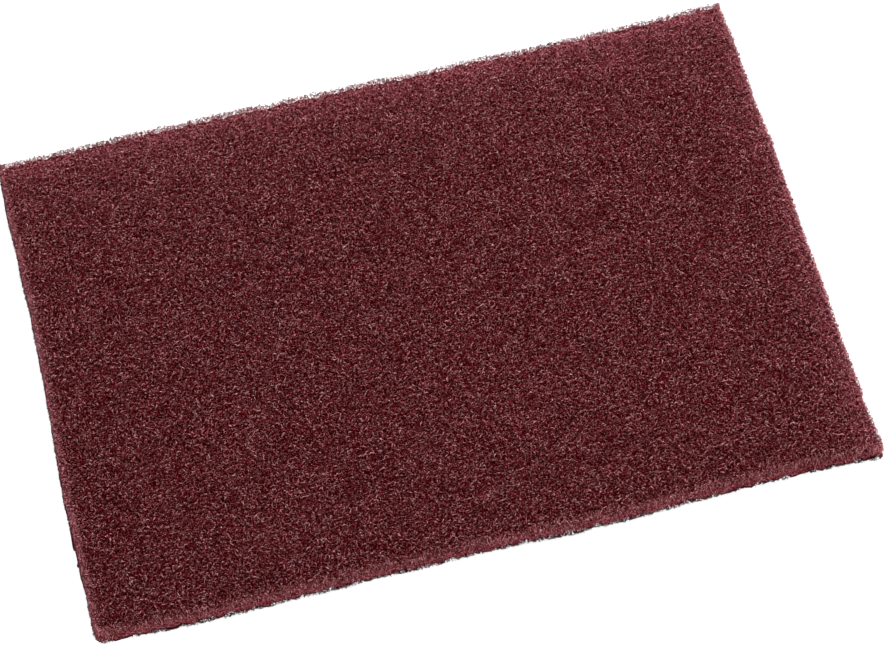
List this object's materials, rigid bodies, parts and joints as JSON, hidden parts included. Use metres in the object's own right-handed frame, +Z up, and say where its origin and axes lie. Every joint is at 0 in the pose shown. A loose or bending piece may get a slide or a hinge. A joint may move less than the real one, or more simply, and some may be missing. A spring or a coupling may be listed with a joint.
{
  "type": "scouring pad",
  "caption": "Flat rectangular hand pad of lofty non-woven nylon web, rough and open on both faces, with cut edges, for scouring and scuffing by hand.",
  "frame": {"origin": "middle of the pad's underside, on the surface that it lies on", "axes": "+X along the long side, +Y across the pad away from the near cut edge, +Z up through the thickness"},
  "size_m": [0.2256, 0.1598, 0.007],
  "materials": {
    "nylon_web": "maroon tangle of resin-coated nylon fibres, dull, with dark open gaps and paler fibre tops"
  },
  "bodies": {
    "root": {"scouring_pad": "nylon_web"}
  },
  "joints": []
}
